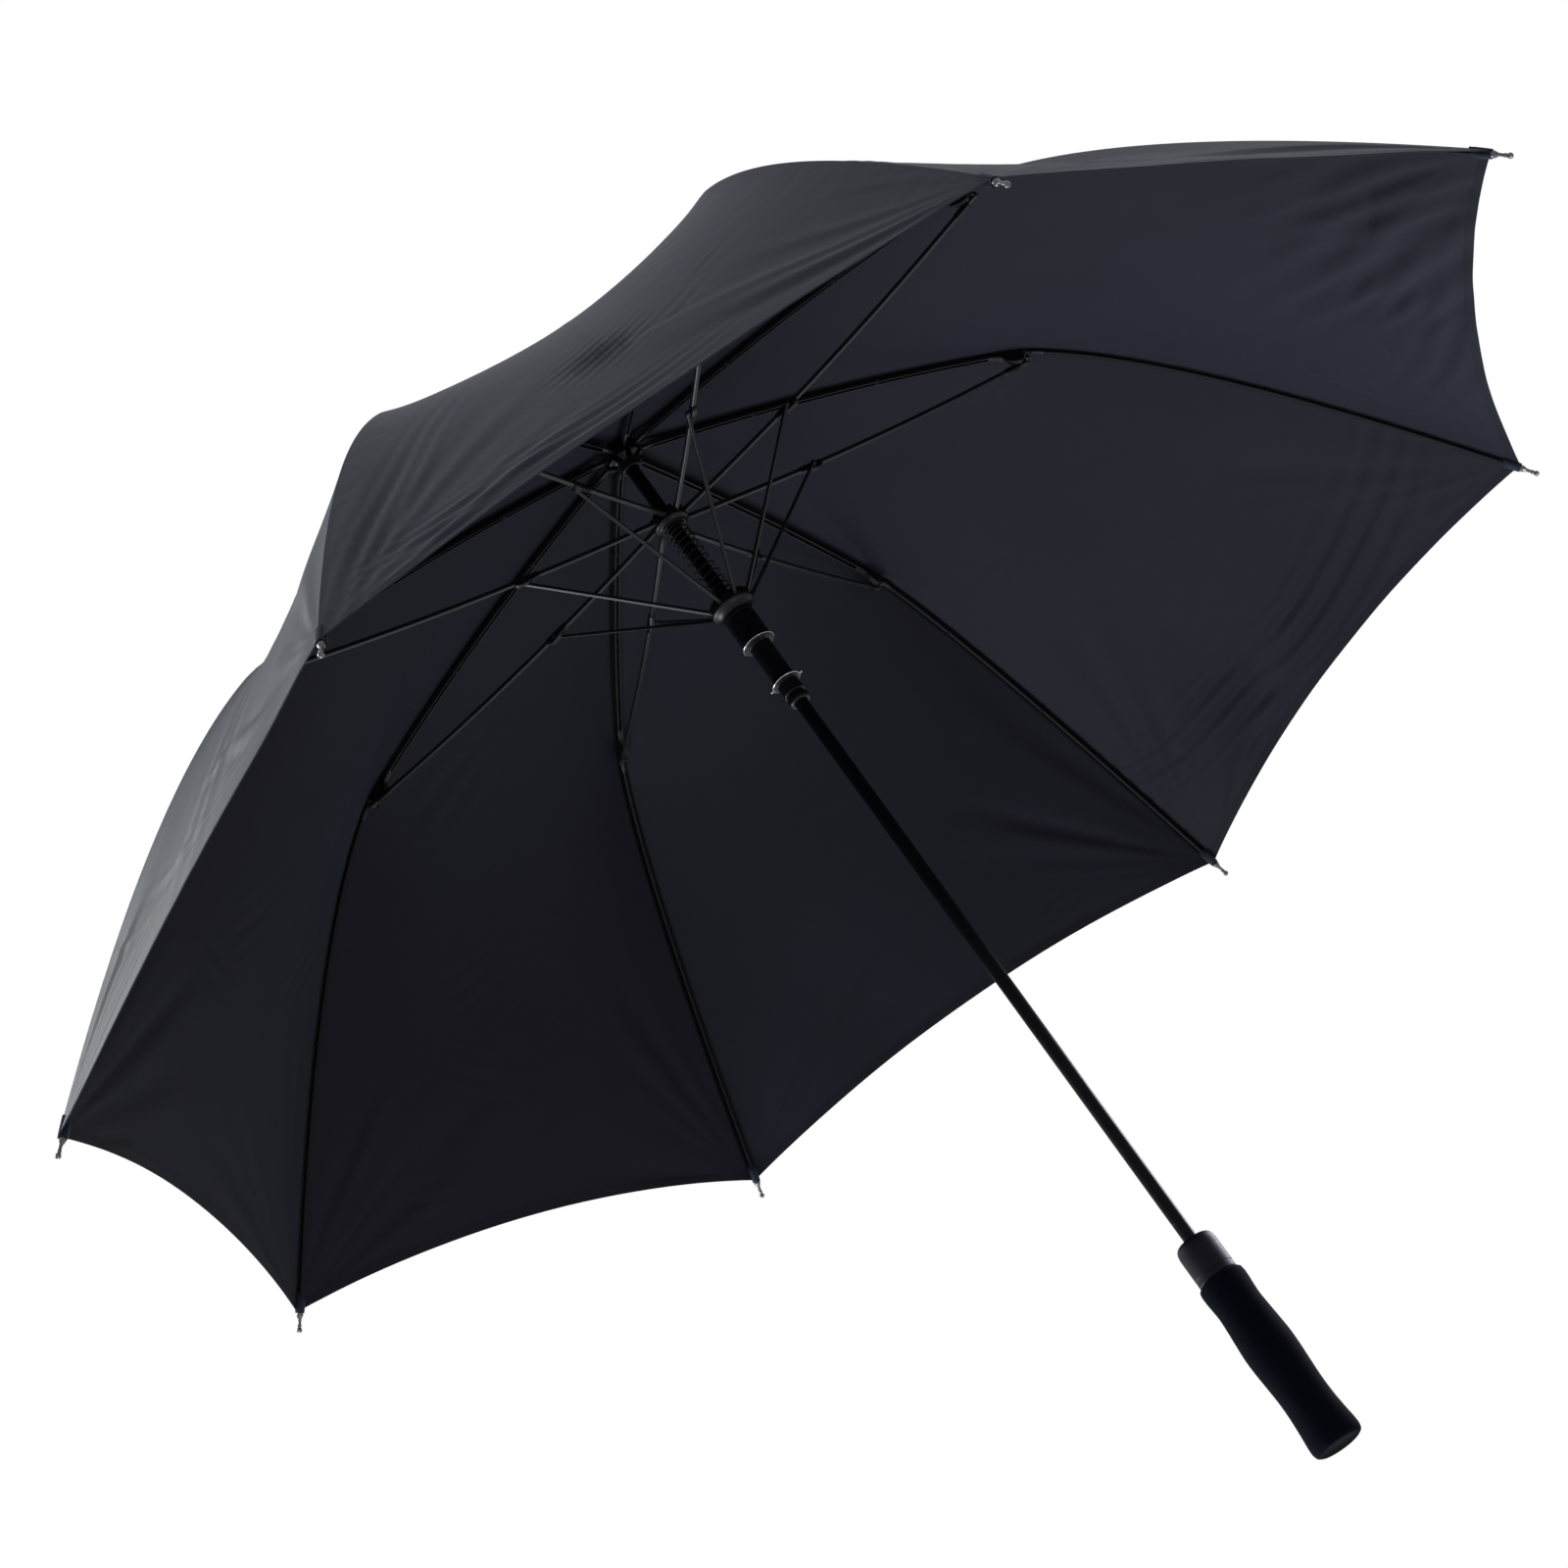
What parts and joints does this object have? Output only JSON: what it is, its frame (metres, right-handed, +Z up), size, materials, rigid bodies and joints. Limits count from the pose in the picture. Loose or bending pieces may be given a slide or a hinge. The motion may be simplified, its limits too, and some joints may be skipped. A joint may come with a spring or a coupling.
{
  "type": "golf umbrella",
  "caption": "Large automatic stick umbrella with a deep dark cloth canopy, twin sliding runners, folding ribs and links, and a contoured foam handle.",
  "frame": {"origin": "centre of the handle's flat butt face", "axes": "+Z up the shaft towards the ferrule; +X towards the tip of rib 1"},
  "size_m": [1.2664, 1.2664, 0.99],
  "materials": {
    "canopy_cloth": "plain woven pongee, satin sheen",
    "black_steel": "gloss black enamel",
    "fibreglass_rod": "smooth resin",
    "black_plastic": "moulded, satin",
    "tip_plastic": "moulded",
    "collar_plastic": "soft gloss",
    "grip_foam": "closed-cell foam",
    "spring_wire": "drawn spring wire, black oiled",
    "button_plastic": "moulded"
  },
  "bodies": {
    "frame": {"shaft": "black_steel", "ferrule": "black_plastic", "top_cap": "black_plastic", "crown_notch": "black_plastic", "handle_collar": "collar_plastic", "handle_core": "black_plastic", "foam_grip": "grip_foam"},
    "lower_runner": {"lower_runner": "black_plastic", "opening_spring": "spring_wire"},
    "upper_runner": {"upper_runner": "black_plastic"},
    "release_button": {"release_button": "button_plastic", "latch_plate": "black_steel"},
    "upper_rib_1": {"upper_rib_1": "black_steel"},
    "lower_rib_1": {"lower_rib_1": "fibreglass_rod", "rib_tip_1": "tip_plastic", "canopy_panel_1": "canopy_cloth"},
    "stretcher_1": {"stretcher_1": "black_steel"},
    "link_1": {"link_1": "black_steel"},
    "upper_rib_2": {"upper_rib_2": "black_steel"},
    "lower_rib_2": {"lower_rib_2": "fibreglass_rod", "rib_tip_2": "tip_plastic", "canopy_panel_2": "canopy_cloth"},
    "stretcher_2": {"stretcher_2": "black_steel"},
    "link_2": {"link_2": "black_steel"},
    "upper_rib_3": {"upper_rib_3": "black_steel"},
    "lower_rib_3": {"lower_rib_3": "fibreglass_rod", "rib_tip_3": "tip_plastic", "canopy_panel_3": "canopy_cloth"},
    "stretcher_3": {"stretcher_3": "black_steel"},
    "link_3": {"link_3": "black_steel"},
    "upper_rib_4": {"upper_rib_4": "black_steel"},
    "lower_rib_4": {"lower_rib_4": "fibreglass_rod", "rib_tip_4": "tip_plastic", "canopy_panel_4": "canopy_cloth"},
    "stretcher_4": {"stretcher_4": "black_steel"},
    "link_4": {"link_4": "black_steel"},
    "upper_rib_5": {"upper_rib_5": "black_steel"},
    "lower_rib_5": {"lower_rib_5": "fibreglass_rod", "rib_tip_5": "tip_plastic", "canopy_panel_5": "canopy_cloth"},
    "stretcher_5": {"stretcher_5": "black_steel"},
    "link_5": {"link_5": "black_steel"},
    "upper_rib_6": {"upper_rib_6": "black_steel"},
    "lower_rib_6": {"lower_rib_6": "fibreglass_rod", "rib_tip_6": "tip_plastic", "canopy_panel_6": "canopy_cloth"},
    "stretcher_6": {"stretcher_6": "black_steel"},
    "link_6": {"link_6": "black_steel"},
    "upper_rib_7": {"upper_rib_7": "black_steel"},
    "lower_rib_7": {"lower_rib_7": "fibreglass_rod", "rib_tip_7": "tip_plastic", "canopy_panel_7": "canopy_cloth"},
    "stretcher_7": {"stretcher_7": "black_steel"},
    "link_7": {"link_7": "black_steel"},
    "upper_rib_8": {"upper_rib_8": "black_steel"},
    "lower_rib_8": {"lower_rib_8": "fibreglass_rod", "rib_tip_8": "tip_plastic", "canopy_panel_8": "canopy_cloth"},
    "stretcher_8": {"stretcher_8": "black_steel"},
    "link_8": {"link_8": "black_steel"}
  },
  "joints": [
    {"name": "runner_slide", "type": "slide", "parent": "frame", "child": "lower_runner", "axis": [0, 0, 1], "range_m": [-0.51423, 0], "stiffness_N_per_m": 60, "springref_m": 0.3, "deforming": ["opening_spring", "canopy_panel_1", "canopy_panel_2", "canopy_panel_3", "canopy_panel_4", "canopy_panel_5", "canopy_panel_6", "canopy_panel_7", "canopy_panel_8"]},
    {"name": "upper_runner_slide", "type": "slide", "parent": "frame", "child": "upper_runner", "axis": [0, 0, 1], "range_m": [-0.57693, 0]},
    {"name": "rib_hinge_1", "type": "hinge", "parent": "frame", "child": "upper_rib_1", "pos_m": [0.0125, 0, 0.9205], "axis": [0, 1, 0], "range_deg": [0, 78.65]},
    {"name": "rib_flex_1", "type": "hinge", "parent": "upper_rib_1", "child": "lower_rib_1", "pos_m": [0.334, 0, 0.8675], "axis": [0, 1, 0], "range_deg": [-32.01, 0]},
    {"name": "stretcher_pivot_1", "type": "hinge", "parent": "upper_runner", "child": "stretcher_1", "pos_m": [0.012, 0, 0.8505], "axis": [0, 1, 0], "range_deg": [-87.34, 0]},
    {"name": "link_pivot_1", "type": "hinge", "parent": "lower_runner", "child": "link_1", "pos_m": [0.0165, 0, 0.762], "axis": [0, 1, 0], "range_deg": [-50.86, 0]},
    {"name": "rib_hinge_2", "type": "hinge", "parent": "frame", "child": "upper_rib_2", "pos_m": [0.00884, 0.00884, 0.9205], "axis": [-0.7071, 0.7071, 0], "range_deg": [0, 78.65]},
    {"name": "rib_flex_2", "type": "hinge", "parent": "upper_rib_2", "child": "lower_rib_2", "pos_m": [0.23617, 0.23617, 0.8675], "axis": [-0.7071, 0.7071, 0], "range_deg": [-32.01, 0]},
    {"name": "stretcher_pivot_2", "type": "hinge", "parent": "upper_runner", "child": "stretcher_2", "pos_m": [0.00849, 0.00849, 0.8505], "axis": [-0.7071, 0.7071, 0], "range_deg": [-87.34, 0]},
    {"name": "link_pivot_2", "type": "hinge", "parent": "lower_runner", "child": "link_2", "pos_m": [0.01167, 0.01167, 0.762], "axis": [-0.7071, 0.7071, 0], "range_deg": [-50.86, 0]},
    {"name": "rib_hinge_3", "type": "hinge", "parent": "frame", "child": "upper_rib_3", "pos_m": [0, 0.0125, 0.9205], "axis": [-1, 0, 0], "range_deg": [0, 78.65]},
    {"name": "rib_flex_3", "type": "hinge", "parent": "upper_rib_3", "child": "lower_rib_3", "pos_m": [0, 0.334, 0.8675], "axis": [-1, 0, 0], "range_deg": [-32.01, 0]},
    {"name": "stretcher_pivot_3", "type": "hinge", "parent": "upper_runner", "child": "stretcher_3", "pos_m": [0, 0.012, 0.8505], "axis": [-1, 0, 0], "range_deg": [-87.34, 0]},
    {"name": "link_pivot_3", "type": "hinge", "parent": "lower_runner", "child": "link_3", "pos_m": [0, 0.0165, 0.762], "axis": [-1, 0, 0], "range_deg": [-50.86, 0]},
    {"name": "rib_hinge_4", "type": "hinge", "parent": "frame", "child": "upper_rib_4", "pos_m": [-0.00884, 0.00884, 0.9205], "axis": [-0.7071, -0.7071, 0], "range_deg": [0, 78.65]},
    {"name": "rib_flex_4", "type": "hinge", "parent": "upper_rib_4", "child": "lower_rib_4", "pos_m": [-0.23617, 0.23617, 0.8675], "axis": [-0.7071, -0.7071, 0], "range_deg": [-32.01, 0]},
    {"name": "stretcher_pivot_4", "type": "hinge", "parent": "upper_runner", "child": "stretcher_4", "pos_m": [-0.00849, 0.00849, 0.8505], "axis": [-0.7071, -0.7071, 0], "range_deg": [-87.34, 0]},
    {"name": "link_pivot_4", "type": "hinge", "parent": "lower_runner", "child": "link_4", "pos_m": [-0.01167, 0.01167, 0.762], "axis": [-0.7071, -0.7071, 0], "range_deg": [-50.86, 0]},
    {"name": "rib_hinge_5", "type": "hinge", "parent": "frame", "child": "upper_rib_5", "pos_m": [-0.0125, 0, 0.9205], "axis": [0, -1, 0], "range_deg": [0, 78.65]},
    {"name": "rib_flex_5", "type": "hinge", "parent": "upper_rib_5", "child": "lower_rib_5", "pos_m": [-0.334, 0, 0.8675], "axis": [0, -1, 0], "range_deg": [-32.01, 0]},
    {"name": "stretcher_pivot_5", "type": "hinge", "parent": "upper_runner", "child": "stretcher_5", "pos_m": [-0.012, 0, 0.8505], "axis": [0, -1, 0], "range_deg": [-87.34, 0]},
    {"name": "link_pivot_5", "type": "hinge", "parent": "lower_runner", "child": "link_5", "pos_m": [-0.0165, 0, 0.762], "axis": [0, -1, 0], "range_deg": [-50.86, 0]},
    {"name": "rib_hinge_6", "type": "hinge", "parent": "frame", "child": "upper_rib_6", "pos_m": [-0.00884, -0.00884, 0.9205], "axis": [0.7071, -0.7071, 0], "range_deg": [0, 78.65]},
    {"name": "rib_flex_6", "type": "hinge", "parent": "upper_rib_6", "child": "lower_rib_6", "pos_m": [-0.23617, -0.23617, 0.8675], "axis": [0.7071, -0.7071, 0], "range_deg": [-32.01, 0]},
    {"name": "stretcher_pivot_6", "type": "hinge", "parent": "upper_runner", "child": "stretcher_6", "pos_m": [-0.00849, -0.00849, 0.8505], "axis": [0.7071, -0.7071, 0], "range_deg": [-87.34, 0]},
    {"name": "link_pivot_6", "type": "hinge", "parent": "lower_runner", "child": "link_6", "pos_m": [-0.01167, -0.01167, 0.762], "axis": [0.7071, -0.7071, 0], "range_deg": [-50.86, 0]},
    {"name": "rib_hinge_7", "type": "hinge", "parent": "frame", "child": "upper_rib_7", "pos_m": [0, -0.0125, 0.9205], "axis": [1, 0, 0], "range_deg": [0, 78.65]},
    {"name": "rib_flex_7", "type": "hinge", "parent": "upper_rib_7", "child": "lower_rib_7", "pos_m": [0, -0.334, 0.8675], "axis": [1, 0, 0], "range_deg": [-32.01, 0]},
    {"name": "stretcher_pivot_7", "type": "hinge", "parent": "upper_runner", "child": "stretcher_7", "pos_m": [0, -0.012, 0.8505], "axis": [1, 0, 0], "range_deg": [-87.34, 0]},
    {"name": "link_pivot_7", "type": "hinge", "parent": "lower_runner", "child": "link_7", "pos_m": [0, -0.0165, 0.762], "axis": [1, 0, 0], "range_deg": [-50.86, 0]},
    {"name": "rib_hinge_8", "type": "hinge", "parent": "frame", "child": "upper_rib_8", "pos_m": [0.00884, -0.00884, 0.9205], "axis": [0.7071, 0.7071, 0], "range_deg": [0, 78.65]},
    {"name": "rib_flex_8", "type": "hinge", "parent": "upper_rib_8", "child": "lower_rib_8", "pos_m": [0.23617, -0.23617, 0.8675], "axis": [0.7071, 0.7071, 0], "range_deg": [-32.01, 0]},
    {"name": "stretcher_pivot_8", "type": "hinge", "parent": "upper_runner", "child": "stretcher_8", "pos_m": [0.00849, -0.00849, 0.8505], "axis": [0.7071, 0.7071, 0], "range_deg": [-87.34, 0]},
    {"name": "link_pivot_8", "type": "hinge", "parent": "lower_runner", "child": "link_8", "pos_m": [0.01167, -0.01167, 0.762], "axis": [0.7071, 0.7071, 0], "range_deg": [-50.86, 0]},
    {"name": "button_press", "type": "slide", "parent": "frame", "child": "release_button", "axis": [0.1736, -0.9848, 0], "range_m": [0, 0.002], "stiffness_N_per_m": 600, "springref_m": -0.002}
  ],
  "couplings": [
    {"joint": "upper_runner_slide", "follows": "runner_slide", "ratio": 1.1218},
    {"joint": "rib_hinge_1", "follows": "runner_slide", "rad_per_m": -2.6691},
    {"joint": "rib_flex_1", "follows": "runner_slide", "rad_per_m": 1.0862},
    {"joint": "stretcher_pivot_1", "follows": "runner_slide", "rad_per_m": 2.964},
    {"joint": "link_pivot_1", "follows": "runner_slide", "rad_per_m": 1.7262},
    {"joint": "rib_hinge_2", "follows": "runner_slide", "rad_per_m": -2.6691},
    {"joint": "rib_flex_2", "follows": "runner_slide", "rad_per_m": 1.0862},
    {"joint": "stretcher_pivot_2", "follows": "runner_slide", "rad_per_m": 2.964},
    {"joint": "link_pivot_2", "follows": "runner_slide", "rad_per_m": 1.7262},
    {"joint": "rib_hinge_3", "follows": "runner_slide", "rad_per_m": -2.6691},
    {"joint": "rib_flex_3", "follows": "runner_slide", "rad_per_m": 1.0862},
    {"joint": "stretcher_pivot_3", "follows": "runner_slide", "rad_per_m": 2.964},
    {"joint": "link_pivot_3", "follows": "runner_slide", "rad_per_m": 1.7262},
    {"joint": "rib_hinge_4", "follows": "runner_slide", "rad_per_m": -2.6691},
    {"joint": "rib_flex_4", "follows": "runner_slide", "rad_per_m": 1.0862},
    {"joint": "stretcher_pivot_4", "follows": "runner_slide", "rad_per_m": 2.964},
    {"joint": "link_pivot_4", "follows": "runner_slide", "rad_per_m": 1.7262},
    {"joint": "rib_hinge_5", "follows": "runner_slide", "rad_per_m": -2.6691},
    {"joint": "rib_flex_5", "follows": "runner_slide", "rad_per_m": 1.0862},
    {"joint": "stretcher_pivot_5", "follows": "runner_slide", "rad_per_m": 2.964},
    {"joint": "link_pivot_5", "follows": "runner_slide", "rad_per_m": 1.7262},
    {"joint": "rib_hinge_6", "follows": "runner_slide", "rad_per_m": -2.6691},
    {"joint": "rib_flex_6", "follows": "runner_slide", "rad_per_m": 1.0862},
    {"joint": "stretcher_pivot_6", "follows": "runner_slide", "rad_per_m": 2.964},
    {"joint": "link_pivot_6", "follows": "runner_slide", "rad_per_m": 1.7262},
    {"joint": "rib_hinge_7", "follows": "runner_slide", "rad_per_m": -2.6691},
    {"joint": "rib_flex_7", "follows": "runner_slide", "rad_per_m": 1.0862},
    {"joint": "stretcher_pivot_7", "follows": "runner_slide", "rad_per_m": 2.964},
    {"joint": "link_pivot_7", "follows": "runner_slide", "rad_per_m": 1.7262},
    {"joint": "rib_hinge_8", "follows": "runner_slide", "rad_per_m": -2.6691},
    {"joint": "rib_flex_8", "follows": "runner_slide", "rad_per_m": 1.0862},
    {"joint": "stretcher_pivot_8", "follows": "runner_slide", "rad_per_m": 2.964},
    {"joint": "link_pivot_8", "follows": "runner_slide", "rad_per_m": 1.7262}
  ]
}
